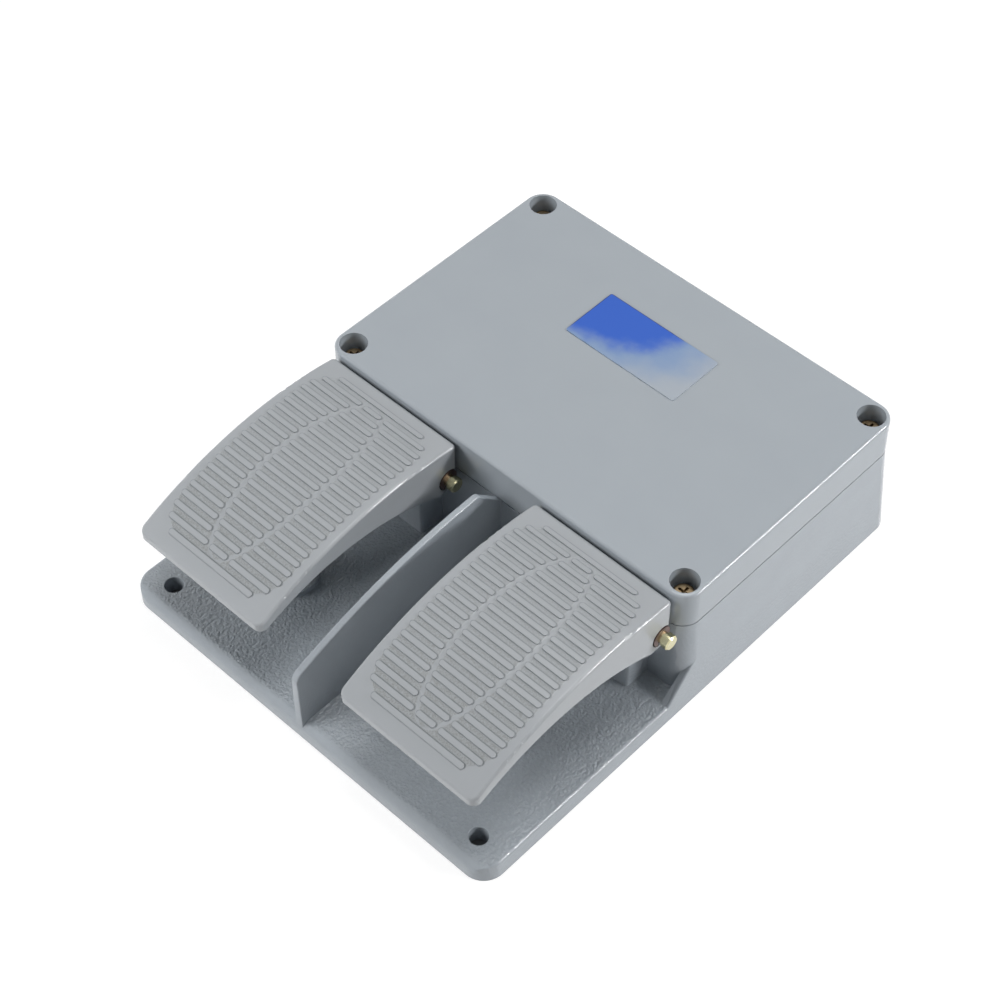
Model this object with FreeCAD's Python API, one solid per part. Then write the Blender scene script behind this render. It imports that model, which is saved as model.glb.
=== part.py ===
"""Twin pedal industrial foot switch: a cast aluminium base and cover, two sprung pedals and their switches.

Millimetres. +X is the operator's right, +Y runs from the pedals to the switch box, +Z is up.
The origin is the middle of the footprint, gland included, on the floor.
"""
import FreeCAD
import Part
import math
import os

os.makedirs("parts", exist_ok=True)
Vec = FreeCAD.Vector
X_DIR, Y_DIR, Z_DIR = Vec(1, 0, 0), Vec(0, 1, 0), Vec(0, 0, 1)

# Base casting
base_width = 196.0
base_depth = 241.6
base_front_corner_r = 9.5
base_rear_corner_r = 8.5
plate_depth = 110.0
plate_top = 8.5
plate_skin = 4.0
rim_wall = 4.0
nose_r = 4.5
plate_edge_r = 1.2
side_draft = 2.5
rear_draft = 3.4
box_wall = 4.0
underside_rib = 3.0
underside_rib_pitch = 42.0
lug_edge_r = 1.6

# Cover
cover_height = 17.4
cover_top = 64.0
cover_corner_r = 8.5
cover_skin = 3.2
cover_wall = 3.5
cover_edge_r = 1.2
cover_draft = 0.25

# Gasket between base and cover
gasket_t = 0.6
gasket_inset = 1.0
gasket_width = 2.4

# Cover screws
screw_inset = 8.0
screw_recess_r = 5.85
screw_recess_depth = 10.0
screw_r = 2.5
screw_head_r = 4.7
screw_head_h = 3.2
screw_length = 22.0
screw_clearance = 0.25
screw_boss_wall = 2.3
screw_play = 0.15
head_round_share = 0.45
tip_chamfer_share = 0.3
cross_slot_w = 1.1
cross_slot_l = 5.2
cross_slot_depth = 1.8

# Mounting holes in the plate
mount_hole_r = 3.8
mount_hole_side = 13.85
mount_hole_front = 11.4
mount_boss_wall = 3.5
mount_hole_chamfer = 0.4

# Divider wall between the pedals
divider_t_top = 2.6
divider_t_foot = 3.8
divider_front_inset = 0.4
divider_front_z = 37.2
divider_mid_z = 53.1
divider_rear_z = 58.1
divider_rear_reach = 10.0
divider_wall_z = 45.3
divider_corner_r = 4.0
divider_edge_r = 0.6

# Side gussets
gusset_t = 4.0
gusset_reach = 8.2
gusset_edge_r = 0.8

# Pedals
pedal_width = 69.0
pedal_pitch = 110.6
pedal_rear_gap = 1.1
pedal_length = 105.5
pedal_skin = 3.4
pedal_side = 3.0
pedal_top_r = 160.0
pedal_apex_from_rear = 29.9
pedal_apex_z = 64.4
pedal_skirt_r = 104.0
pedal_skirt_apex_from_rear = 58.9
pedal_skirt_apex_z = 51.4
pedal_front_corner_r = 3.5
pedal_rear_corner_r = 2.0
pedal_edge_r = 1.4
pedal_heel_drop = 3.0
pedal_rib_t = 4.0
pedal_rib_depth = 8.0

# Tread bars on the pedals
tread_bar_w = 2.0
tread_bar_h = 0.5
tread_bar_root = 2.0
tread_pitch = 4.57
tread_rows = 21
tread_first = 7.4
tread_half_width = 30.2
tread_corner_r = 13.0
tread_corner_share = 0.8
tread_channel_w = 2.0
lens_half_width = 13.6
lens_half_length = 45.0

# Hinge
pivot_from_box = 6.2
pivot_z = 45.6
pin_r = 3.25
pin_reach = 5.1
pin_groove_r = 2.5
pin_groove_length = 2.6
pin_head_length = 3.0
pin_chamfer = 0.5
running_gap = 0.05
bush_wall = 0.75
hub_wall = 1.7
hub_length = 4.4
recess_r = 5.0
recess_depth = 1.6
washer_r = 4.6
washer_t = 0.8
clip_r = 4.5
clip_t = 0.7
clip_opening = 2.0

# Lugs of the casting under each pedal
lug_outer = 24.4
lug_inner = 10.0
lug_front_wall = 2.6
lug_top_r = 7.2
cover_gap = 0.3
stop_web_t = 3.0
stop_web_z = 32.0
stop_gap = 0.3
lug_clearance = 1.2

# Pedal lever that pushes the plunger
lever_width = 14.0
lever_t = 5.0
lever_drop = 24.0
lever_face = 2.4
lever_front_chamfer = 1.0
lever_rear_chamfer = 2.0
press_drop = 18.0

# Plunger and its guide
plunger_r = 3.0
plunger_gap = 0.3
plunger_dome_r = 2.2
guide_r = 5.0
guide_flange_r = 7.5
guide_flange_t = 2.0
guide_inner_length = 7.0
seal_groove_w = 2.2
seal_groove_depth = 1.3
seal_inset = 1.2
plunger_inner_reach = 5.0

# Return springs
spring_from_pivot = 57.2
spring_wire_r = 0.9
spring_r = 7.2
spring_turns = 9
spring_end_gap = 0.2
spring_steps = 16
spring_wire_sides = 8
spring_seat_r = 13.0
spring_seat_h = 2.8
spring_cup_r = 9.6
spring_cup_depth = 4.0
spring_pilot_r = 5.4
spring_pilot_h = 3.5
spring_pilot_taper = 0.6

# Switches
switch_length = 49.2
switch_height = 24.2
switch_thick = 17.4
switch_corner_r = 1.2
switch_screw_pitch = 25.4
switch_screw_r = 2.0
switch_screw_from_front = 4.9
switch_screw_head_r = 3.6
switch_screw_head_h = 2.4
switch_screw_grip = 8.0
button_r = 2.4
button_collar_r = 4.6
button_collar_h = 1.0
button_depth = 9.0
button_proud = 4.0
button_room = 4.0
plate_t = 2.0
plate_margin = 8.0
plate_front_inset = 1.0
plate_corner_r = 2.0
plate_slot_half = 18.0
plate_slot_w = 5.0
plate_slot_inset = 6.0
post_r = 5.0
terminal_w = 8.0
terminal_l = 11.0
terminal_t = 1.0
terminal_inset = 0.2
terminal_screw_r = 2.9
terminal_screw_h = 2.2
terminal_head_inset = 3.2
terminal_slot_w = 1.0
terminal_slot_depth = 1.0
terminal_pitch = 15.5
terminal_bay_depth = 7.0
terminal_seat_h = 6.0
terminal_bay_wall = 1.6

# Earth terminal
earth_x = 40.0
earth_from_rear = 26.0
earth_boss_r = 6.0
earth_boss_h = 6.0
earth_screw_r = 2.0
earth_head_r = 4.0
earth_head_h = 2.6
earth_clamp = 12.0
earth_clamp_t = 1.6

# Cable gland in the rear wall
gland_z = 22.0
gland_boss_r = 15.5
gland_thread_r = 10.0
gland_neck_r = 9.0
gland_collar_af = 24.0
gland_collar_l = 5.0
gland_nut_l = 10.4
gland_skirt_share = 0.6
gland_nut_lip = 2.5
gland_nut_mouth_r = 6.6
gland_bore_r = 7.2
gland_seal_r = 4.5
gland_seal_l = 9.0
gland_inner_l = 8.5
locknut_af = 26.0
locknut_l = 4.5

# Nameplate
nameplate_w = 57.0
nameplate_d = 28.0
nameplate_t = 0.4
nameplate_x = -2.3
nameplate_from_rear = 41.9
nameplate_corner_r = 1.0

# Places that follow from the sizes
gland_reach = gland_collar_l + gland_nut_l
front_y = -(base_depth + gland_reach) / 2
rear_y = front_y + base_depth
box_front = front_y + plate_depth
cover_rear = rear_y - rear_draft
cover_half = base_width / 2 - side_draft
split_z = cover_top - cover_height - gasket_t
cover_foot_z = split_z + gasket_t
pivot_y = box_front - pivot_from_box
pedal_rear = box_front - pedal_rear_gap
pedal_front = pedal_rear - pedal_length
pedal_half = pedal_width / 2
plunger_z = pivot_z - press_drop
lever_rear = pivot_y + lever_face
spring_y = pivot_y - spring_from_pivot
spring_foot_z = plate_top + spring_seat_h
switch_front = box_front + box_wall + guide_inner_length + plunger_inner_reach + button_proud
switch_low = plunger_z - switch_thick / 2
switch_plate_z = switch_low - plate_t
lug_front = pivot_y - pin_r - lug_front_wall
hub_outer = pedal_half - recess_depth
hub_inner = hub_outer - hub_length
hub_r = pin_r + running_gap + bush_wall + hub_wall
heel_r = math.hypot(pedal_rear - pivot_y, pedal_heel_drop)
pin_half = pedal_half + pin_reach
groove_end = pin_half - pin_head_length
groove_start = groove_end - pin_groove_length
sides = {"left": -pedal_pitch / 2, "right": pedal_pitch / 2}
screw_places = [(sx * (cover_half - screw_inset), y) for sx in (-1, 1)
                for y in (box_front + screw_inset, cover_rear - screw_inset)]
screw_seat_z = cover_top - screw_recess_depth


def box(x0, x1, y0, y1, z0, z1):
    return Part.makeBox(x1 - x0, y1 - y0, z1 - z0, Vec(x0, y0, z0))


def rod(r, length, start, direction=Z_DIR):
    return Part.makeCylinder(r, length, Vec(*start), direction)


def cone(r0, r1, length, start, direction=Z_DIR):
    return Part.makeCone(r0, r1, length, Vec(*start), direction)


def join(first, *others):
    return first.fuse(list(others)).removeSplitter()


def cut(first, *others):
    return first.cut(list(others))


def outline(half, y0, y1, r_front, r_rear, z, x=0.0):
    """A rectangle in plan with rounded corners, as one wire."""
    corners = [(half, y0, r_front, -1, 1), (half, y1, r_rear, -1, -1),
               (-half, y1, r_rear, 1, -1), (-half, y0, r_front, 1, 1)]
    edges = []
    ends = []
    bulge = 1 - math.sqrt(0.5)
    for n, (cx, cy, r, sx, sy) in enumerate(corners):
        along_x = Vec(x + cx + sx * r, cy, z)
        along_y = Vec(x + cx, cy + sy * r, z)
        middle = Vec(x + cx + sx * r * bulge, cy + sy * r * bulge, z)
        first, last = (along_x, along_y) if n % 2 == 0 else (along_y, along_x)
        ends.append((first, middle, last))
    for n, (first, middle, last) in enumerate(ends):
        edges.append(Part.Arc(first, middle, last).toShape())
        following = ends[(n + 1) % len(ends)][0]
        edges.append(Part.LineSegment(last, following).toShape())
    return Part.Wire(edges)


def slab(half, y0, y1, r_front, r_rear, z0, z1, x=0.0):
    """A block with the rounded outline, standing upright."""
    face = Part.Face(outline(half, y0, y1, r_front, r_rear, z0, x))
    return face.extrude(Vec(0, 0, z1 - z0))


def tapered(low, high):
    """A drafted block between two outlines."""
    return Part.makeLoft([outline(*low), outline(*high)], True, True)


def side_face(points, x):
    """A closed face in the YZ plane. A point is (y, z), and (y, z, y_mid, z_mid) reaches it by an arc."""
    edges = []
    for n, point in enumerate(points):
        start = Vec(x, *points[n - 1][:2])
        end = Vec(x, *point[:2])
        if len(point) == 4:
            edges.append(Part.Arc(start, Vec(x, *point[2:]), end).toShape())
        else:
            edges.append(Part.LineSegment(start, end).toShape())
    return Part.Face(Part.Wire(edges))


def side_block(points, x0, x1):
    return side_face(points, x0).extrude(Vec(x1 - x0, 0, 0))


def hexagon(across_flats, length, y, z):
    """A hexagonal bar along +Y, with a flat on top."""
    r = across_flats / math.sqrt(3)
    points = [Vec(r * math.cos(math.radians(60 * n)), y, z + r * math.sin(math.radians(60 * n)))
              for n in range(7)]
    return Part.Face(Part.makePolygon(points)).extrude(Vec(0, length, 0))


def edges_at(shape, test):
    return [edge for edge in shape.Edges if test(edge.CenterOfMass, edge)]


def draft_at(z):
    """How far the sides and the rear have come in at a height, as shares of the whole draft."""
    share = z / split_z
    return base_width / 2 - side_draft * share, rear_y - rear_draft * share


def footprint(y0, r_front, z1):
    """The drafted outer form of the casting from the floor to a height."""
    half, rear = draft_at(z1)
    r_rear = base_rear_corner_r + (cover_corner_r - base_rear_corner_r) * z1 / split_z
    low = (base_width / 2, y0, rear_y, r_front, base_rear_corner_r, 0)
    high = (half, y0, rear, r_front, r_rear, z1)
    return tapered(low, high)


def plate_form():
    plate = footprint(front_y, base_front_corner_r, plate_top)
    nose = side_block([(front_y - 1, plate_top - nose_r), (front_y, plate_top - nose_r),
                       (front_y + nose_r, plate_top, front_y + nose_r * (1 - math.sqrt(0.5)),
                        plate_top - nose_r * (1 - math.sqrt(0.5))),
                       (front_y + nose_r, plate_top + 1), (front_y - 1, plate_top + 1)],
                      -base_width, base_width)
    rim = edges_at(plate, lambda c, e: c.z > plate_top - 0.01)
    return plate.makeFillet(plate_edge_r, rim).cut(nose)


def divider():
    """The upright wall between the pedals, its top edge rising to the rear and falling to the box."""
    front = front_y + divider_front_inset
    turn = divider_corner_r
    rear = box_front - divider_rear_reach
    root = plate_top - nose_r
    profile = side_block([(front, root), (front, divider_front_z - turn),
                          (front + turn, divider_front_z + turn / 2, front + turn * 0.25, divider_front_z),
                          (rear - turn, divider_rear_z, (front + rear) / 2, divider_mid_z),
                          (rear, divider_rear_z - turn / 2, rear - turn * 0.3, divider_rear_z - turn * 0.15),
                          (box_front + 1, divider_wall_z), (box_front + 1, root)],
                         -divider_t_foot, divider_t_foot)
    foot, top = divider_t_foot / 2, divider_t_top / 2
    corners = [(-foot, root), (foot, root), (top, cover_top), (-top, cover_top)]
    points = [Vec(x, front_y - 1, z) for x, z in corners]
    wedge = Part.Face(Part.makePolygon(points + points[:1])).extrude(Vec(0, plate_depth + 3, 0))
    wall = profile.common(wedge)
    return wall.makeFillet(divider_edge_r, edges_at(wall, lambda c, e: on_divider_rim(e)))


def on_divider_rim(edge):
    """Whether an edge follows the outline of the divider above the plate, in front of the box."""
    first, last = (vertex.Point for vertex in edge.Vertexes)
    return (abs(first.x - last.x) < divider_t_top / 2 and max(first.z, last.z) > plate_top + 1
            and min(first.y, last.y) < box_front + 0.5)


def gusset_block():
    """Both side gussets in one drafted piece: a web at each edge of the plate, leaning on the box."""
    low = box_front - gusset_reach
    high = box_front + cover_corner_r
    web = side_block([(low, plate_top - 1), (low, plate_top), (high, plate_top + high - low),
                      (high, plate_top - 1)], -base_width, base_width)
    half = base_width / 2 - gusset_t
    webs = web.common(footprint(front_y, base_front_corner_r, split_z)).cut(
        box(-half, half, front_y, rear_y, 0, cover_top))
    return webs.makeFillet(gusset_edge_r, edges_at(webs, lambda c, e: on_gusset_ramp(e)))


def on_gusset_ramp(edge):
    """Whether an edge is the outer one of a gusset's ramp."""
    first, last = (vertex.Point for vertex in edge.Vertexes)
    return (min(abs(first.x), abs(last.x)) > base_width / 2 - gusset_t / 2
            and abs(abs(first.y - last.y) - abs(first.z - last.z)) < 0.01 < abs(first.z - last.z))


def lugs(centre):
    """The two lugs that carry a pivot pin, and the web between them that the lever rests on."""
    blocks = []
    for side in (-1, 1):
        x0, x1 = sorted((centre + side * lug_inner, centre + side * lug_outer))
        foot = box(x0, x1, lug_front, box_front + 1, plate_top - 1, pivot_z)
        foot = foot.makeFillet(lug_edge_r, edges_at(foot, lambda c, e: c.y < lug_front + 0.01
                                                    and abs(c.z - (plate_top - 1 + pivot_z) / 2) < 0.01))
        eye = rod(lug_top_r, x1 - x0, (x0, pivot_y, pivot_z), X_DIR)
        eye = eye.common(box(x0, x1, lug_front, box_front - cover_gap, plate_top, cover_top))
        blocks += [foot, eye]
    web_rear = lever_rear - lever_t - stop_gap
    blocks.append(box(centre - lug_inner, centre + lug_inner, web_rear - stop_web_t, web_rear,
                      plate_top - 1, stop_web_z))
    return blocks


def underside_ribs():
    """One rib along the middle and four across, left standing when the underside is hollowed."""
    ribs = [box(-underside_rib / 2, underside_rib / 2, front_y, rear_y, 0, plate_top)]
    for n in (-1, 0, 1, 2):
        y = box_front + n * underside_rib_pitch
        ribs.append(box(-base_width / 2, base_width / 2, y, y + underside_rib, 0, plate_top))
    return ribs


def base_casting():
    """Plate, box, divider and lugs in one casting, hollowed from above and below and drilled."""
    body = join(plate_form(), footprint_box(), gusset_block(), divider(), *lugs(sides["left"]),
                *lugs(sides["right"]),
                *[rod(spring_seat_r, spring_seat_h + 1, (x, spring_y, plate_top - 1)) for x in sides.values()],
                rod(gland_boss_r, box_wall + rear_draft, (0, rear_y - rear_draft - box_wall, gland_z), Y_DIR))
    inner_half = cover_half - box_wall
    well = slab(inner_half, box_front + box_wall, cover_rear - box_wall, cover_corner_r - box_wall,
                cover_corner_r - box_wall, plate_top, split_z + 1)
    well = cut(well, *[rod(screw_inset, split_z + 2, (x, y, 0)) for x, y in screw_places])
    well = cut(well, *switch_posts(), rod(earth_boss_r, earth_boss_h, (earth_x, earth_y(), plate_top)))
    tray = slab(base_width / 2 - rim_wall, front_y + rim_wall, rear_y - rim_wall,
                base_front_corner_r - rim_wall, base_rear_corner_r - rim_wall, -1, plate_top - plate_skin)
    tray = cut(tray, *underside_ribs(), *[rod(mount_hole_r + mount_boss_wall, plate_top, (x, y, 0))
                                         for x, y in mount_places()])
    holes = [rod(screw_r, screw_length, (x, y, screw_seat_z - screw_length)) for x, y in screw_places]
    for x, y in mount_places():
        holes.append(rod(mount_hole_r, plate_top + 2, (x, y, -1)))
        holes.append(cone(mount_hole_r, mount_hole_r + 2 * mount_hole_chamfer, 2 * mount_hole_chamfer,
                          (x, y, plate_top - mount_hole_chamfer)))
    for centre in sides.values():
        holes.append(rod(pin_r, 2 * pin_half, (centre - pin_half, pivot_y, pivot_z), X_DIR))
        holes.append(rod(guide_r, box_wall + 2, (centre, box_front - 1, plunger_z), Y_DIR))
        for x in switch_screw_xs(centre):
            holes.append(rod(switch_screw_r, switch_screw_grip, (x, switch_screw_y(), switch_plate_z -
                                                                 switch_screw_grip)))
    holes.append(rod(gland_thread_r, 4 * box_wall, (0, rear_y - 3 * box_wall, gland_z), Y_DIR))
    holes.append(rod(earth_screw_r, earth_boss_h, (earth_x, earth_y(), plate_top)))
    return cut(body, well, tray, *holes)


def footprint_box():
    low = (base_width / 2, box_front, rear_y, base_rear_corner_r, base_rear_corner_r, 0)
    high = (cover_half, box_front, cover_rear, cover_corner_r, cover_corner_r, split_z)
    return tapered(low, high)


def mount_places():
    return [(side * (base_width / 2 - mount_hole_side), front_y + mount_hole_front) for side in (-1, 1)]


def switch_screw_xs(centre):
    return [centre - switch_screw_pitch / 2, centre + switch_screw_pitch / 2]


def switch_screw_y():
    return switch_front + switch_screw_from_front


def switch_posts():
    return [rod(post_r, switch_plate_z - plate_top, (x, switch_screw_y(), plate_top))
            for centre in sides.values() for x in switch_screw_xs(centre)]


def earth_y():
    return cover_rear - box_wall - earth_from_rear


def top_cover():
    shell = tapered((cover_half, box_front, cover_rear, cover_corner_r, cover_corner_r, cover_foot_z),
                    (cover_half - cover_draft, box_front, cover_rear - cover_draft,
                     cover_corner_r, cover_corner_r, cover_top))
    bosses = [rod(screw_recess_r + screw_boss_wall, cover_height, (x, y, cover_foot_z)) for x, y in screw_places]
    inside = slab(cover_half - cover_wall, box_front + cover_wall, cover_rear - cover_wall,
                  cover_corner_r - cover_wall, cover_corner_r - cover_wall,
                  cover_foot_z - 1, cover_top - cover_skin)
    shell = shell.makeFillet(cover_edge_r, edges_at(shell, lambda c, e: c.z > cover_top - 0.01))
    shell = cut(shell, cut(inside, *bosses))
    for x, y in screw_places:
        shell = cut(shell, rod(screw_recess_r, screw_recess_depth + 1, (x, y, screw_seat_z)),
                    rod(screw_r + screw_clearance, cover_height, (x, y, cover_foot_z - 1)))
    return shell


def cover_gasket():
    def ring(inset, z0, z1):
        r = cover_corner_r - inset
        return slab(cover_half - inset, box_front + inset, cover_rear - inset, r, r, z0, z1)
    return cut(ring(gasket_inset, split_z, cover_foot_z),
               ring(gasket_inset + gasket_width, split_z - 1, cover_foot_z + 1))


def cross_slot(x, y, z):
    half_l, half_w = cross_slot_l / 2, cross_slot_w / 2
    return [box(x - half_l, x + half_l, y - half_w, y + half_w, z - cross_slot_depth, z + 1),
            box(x - half_w, x + half_w, y - half_l, y + half_l, z - cross_slot_depth, z + 1)]


def pan_screw(x, y, seat, r, length, head_r, head_h):
    """A pan head screw with a cross recess, its head standing on the seat."""
    head = rod(head_r, head_h, (x, y, seat))
    head = head.makeFillet(head_h * head_round_share, edges_at(head, lambda c, e: c.z > seat + head_h - 0.01))
    shank = rod(r, length, (x, y, seat - length))
    tip = shank.makeChamfer(r * tip_chamfer_share, edges_at(shank, lambda c, e: c.z < seat - length + 0.01))
    return cut(join(head, tip), *cross_slot(x, y, seat + head_h))


def cover_screws():
    return [pan_screw(x, y, screw_seat_z, screw_r, screw_length - 2, screw_head_r, screw_head_h)
            for x, y in screw_places]


def nameplate():
    y1 = cover_rear - nameplate_from_rear + nameplate_d / 2
    return slab(nameplate_w / 2, y1 - nameplate_d, y1, nameplate_corner_r, nameplate_corner_r,
                cover_top, cover_top + nameplate_t, nameplate_x)


def arc_z(y, apex_y, apex_z, radius):
    return apex_z - radius + math.sqrt(radius ** 2 - (y - apex_y) ** 2)


def tread_z(y, drop=0.0):
    """Height of the pedal's arched top at a place along it, or of a face parallel to it."""
    return arc_z(y, pedal_rear - pedal_apex_from_rear, pedal_apex_z - drop, pedal_top_r - drop)


def skirt_z(y):
    return arc_z(y, pedal_rear - pedal_skirt_apex_from_rear, pedal_skirt_apex_z, pedal_skirt_r)


def arched_block(y0, y1, drop, floor_z, x0, x1):
    """A block under the pedal's arch."""
    middle = (y0 + y1) / 2
    return side_block([(y0, floor_z), (y0, tread_z(y0, drop)),
                       (y1, tread_z(y1, drop), middle, tread_z(middle, drop)), (y1, floor_z)], x0, x1)


def pedal_outer(centre):
    """The pedal's solid outer form: an arched top, curved skirts and a heel round the pivot."""
    heel_front = pivot_y - hub_r
    heel_swing = math.atan2(pedal_rear - pivot_y, pedal_heel_drop) / 2
    lip_y = pedal_front + pedal_skin
    middle = (pedal_front + pedal_rear) / 2
    profile = [(pedal_front, skirt_z(lip_y)), (pedal_front, tread_z(pedal_front)),
               (pedal_rear, tread_z(pedal_rear), middle, tread_z(middle)),
               (pedal_rear, pivot_z - pedal_heel_drop),
               (pivot_y, pivot_z - heel_r, pivot_y + heel_r * math.sin(heel_swing),
                pivot_z - heel_r * math.cos(heel_swing)),
               (heel_front, skirt_z(heel_front)), (lip_y, skirt_z(lip_y), middle, skirt_z(middle))]
    body = side_block(profile, centre - pedal_half, centre + pedal_half)
    body = body.common(slab(pedal_half, pedal_front, pedal_rear, pedal_front_corner_r, pedal_rear_corner_r,
                            0, 2 * cover_top, centre))
    return body.makeFillet(pedal_edge_r, edges_at(body, lambda c, e: lies_on_arch(e)))


def lies_on_arch(edge):
    """Whether an edge runs in the pedal's arched top."""
    first, last = edge.ParameterRange
    points = [edge.valueAt(first + (last - first) * share) for share in (0.0, 0.5, 1.0)]
    return all(abs(point.z - tread_z(point.y)) < 0.01 for point in points)


def tread_rows_of(centre):
    """Each bar of the tread as (row's y, x of its left end, x of its right end)."""
    bars = []
    mid_row = (tread_rows - 1) / 2
    for row in range(tread_rows):
        y = pedal_rear - tread_first - row * tread_pitch
        from_mid = abs(row - mid_row) * tread_pitch
        half_length = mid_row * tread_pitch
        into_corner = max(0.0, from_mid - (half_length - tread_corner_r))
        edge = tread_half_width - tread_corner_r + math.sqrt(tread_corner_r ** 2
                                                                 - into_corner ** 2 * tread_corner_share)
        lens = lens_half_width * math.sqrt(max(0.0, 1 - (from_mid / lens_half_length) ** 2))
        if from_mid >= lens_half_length:
            bars.append((y, centre - edge, centre + edge))
            continue
        gap = tread_channel_w / 2
        bars.append((y, centre - edge, centre - lens - gap))
        bars.append((y, centre - lens + gap, centre + lens - gap))
        bars.append((y, centre + lens + gap, centre + edge))
    return bars


def tread(centre):
    """The raised bars, trimmed to stand the same height off the arch everywhere."""
    bars = []
    for y, x0, x1 in tread_rows_of(centre):
        if x1 - x0 < 2 * tread_bar_w:
            continue
        r = tread_bar_w / 2
        low = tread_z(y) - tread_bar_root
        ends = [(x0 + r, y), (x1 - r, y)]
        points = [Vec(ends[0][0], y - r, low), Vec(ends[1][0], y - r, low),
                  Vec(ends[1][0], y + r, low), Vec(ends[0][0], y + r, low)]
        edges = [Part.LineSegment(points[0], points[1]).toShape(),
                 Part.Arc(points[1], Vec(x1, y, low), points[2]).toShape(),
                 Part.LineSegment(points[2], points[3]).toShape(),
                 Part.Arc(points[3], Vec(x0, y, low), points[0]).toShape()]
        bars.append(Part.Face(Part.Wire(edges)).extrude(Vec(0, 0, 2 * tread_bar_root)))
    crown = arched_block(pedal_front, pedal_rear, -tread_bar_h, plate_top, centre - pedal_half,
                         centre + pedal_half)
    return [bar.common(crown) for bar in bars]


def pedal(centre):
    """The arched shell with its middle rib, hubs and lever below, the spring's cup and the tread."""
    inner = pedal_half - pedal_side
    body = pedal_outer(centre)
    hollow = arched_block(pedal_front + pedal_skin, pedal_rear - pedal_skin, pedal_skin, plate_top,
                          centre - inner, centre + inner)
    over_lugs = box(centre - inner, centre + inner, pivot_y - hub_r - 1, pedal_rear + 1, plate_top,
                    pivot_z + lug_top_r + lug_clearance)
    body = cut(body, hollow, over_lugs)
    rib_end = pivot_y - hub_r + 1
    rib = arched_block(pedal_front + pedal_skin, rib_end, pedal_skin - 1, plate_top,
                       centre - pedal_rib_t / 2, centre + pedal_rib_t / 2)
    rib = rib.common(pedal_outer(centre))
    under_rib = arched_block(pedal_front - 1, rib_end + 1, pedal_skin + pedal_rib_depth, plate_top - 1,
                             centre - pedal_rib_t, centre + pedal_rib_t)
    cup_top = tread_z(spring_y, pedal_skin)
    cup_face = cup_top - spring_cup_depth
    coil_space = rod(spring_cup_r, cup_face - plate_top, (centre, spring_y, plate_top))
    hubs = []
    for side in (-1, 1):
        x0, x1 = sorted((centre + side * hub_inner, centre + side * hub_outer))
        hubs.append(rod(hub_r, x1 - x0, (x0, pivot_y, pivot_z), X_DIR))
        hubs.append(arched_block(pivot_y - hub_r, pivot_y, pedal_skin - 1, pivot_z, x0, x1))
    lever_half = lever_width / 2
    lever_front = lever_rear - lever_t
    lever_low = pivot_z - lever_drop
    lever = side_block([(lever_front, lever_low + lever_front_chamfer),
                        (lever_front, tread_z(lever_front, pedal_skin - 1)),
                        (lever_rear, tread_z(lever_rear, pedal_skin - 1)),
                        (lever_rear, lever_low + lever_rear_chamfer), (lever_rear - lever_rear_chamfer, lever_low),
                        (lever_front + lever_front_chamfer, lever_low)],
                       centre - lever_half, centre + lever_half)
    hub = rod(hub_r, lever_width, (centre - lever_half, pivot_y, pivot_z), X_DIR)
    cup = rod(spring_cup_r, spring_cup_depth + 2, (centre, spring_y, cup_face))
    cup = cup.common(arched_block(pedal_front, pedal_rear, pedal_skin - 1, plate_top, centre - inner,
                                  centre + inner))
    pilot = cone(spring_pilot_r - spring_pilot_taper, spring_pilot_r, spring_pilot_h,
                 (centre, spring_y, cup_face - spring_pilot_h))
    body = join(body, cut(rib, under_rib, coil_space), *hubs, lever, hub, cup, pilot)
    bore_r = pin_r + running_gap
    for side in (-1, 1):
        start = centre + side * hub_inner
        along = Vec(side, 0, 0)
        body = cut(body, rod(bore_r + bush_wall, hub_length + 2, (start - side, pivot_y, pivot_z), along),
                   rod(recess_r, recess_depth + 2, (centre + side * hub_outer, pivot_y, pivot_z), along))
    body = cut(body, rod(bore_r, 2 * lever_width, (centre - lever_width, pivot_y, pivot_z), X_DIR))
    return join(body, *tread(centre))


def pivot_pin(centre):
    pin = rod(pin_r, 2 * pin_half, (centre - pin_half, pivot_y, pivot_z), X_DIR)
    pin = pin.makeChamfer(pin_chamfer, edges_at(pin, lambda c, e: abs(abs(c.x - centre) - pin_half) < 0.01))
    for side in (-1, 1):
        groove = rod(pin_r + 1, pin_groove_length, (centre + side * groove_start, pivot_y, pivot_z),
                     Vec(side, 0, 0))
        groove = cut(groove, rod(pin_groove_r, pin_groove_length, (centre + side * groove_start, pivot_y,
                                                                   pivot_z), Vec(side, 0, 0)))
        pin = cut(pin, groove)
    return pin


def pin_washers(centre):
    rings = []
    for side in (-1, 1):
        start = (centre + side * (hub_outer + running_gap), pivot_y, pivot_z)
        along = Vec(side, 0, 0)
        rings.append(cut(rod(washer_r, washer_t, start, along), rod(pin_r + running_gap, washer_t, start, along)))
    return rings


def pin_clips(centre):
    """Open spring clips that sit in the pin's grooves and keep the washers on."""
    clips = []
    for side in (-1, 1):
        x = centre + side * (groove_start + running_gap)
        start = (x, pivot_y, pivot_z)
        along = Vec(side, 0, 0)
        ring = cut(rod(clip_r, clip_t, start, along), rod(pin_groove_r + running_gap, clip_t, start, along))
        x0, x1 = sorted((x - side, x + side * (clip_t + 1)))
        mouth = box(x0, x1, pivot_y - clip_opening, pivot_y + clip_opening, pivot_z - 2 * clip_r, pivot_z)
        clips.append(cut(ring, mouth))
    return clips


def pivot_bushes(centre):
    bushes = []
    for side in (-1, 1):
        start = (centre + side * hub_inner, pivot_y, pivot_z)
        along = Vec(side, 0, 0)
        bore_r = pin_r + running_gap
        bushes.append(cut(rod(bore_r + bush_wall, hub_length, start, along), rod(bore_r, hub_length, start, along)))
    return bushes


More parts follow.
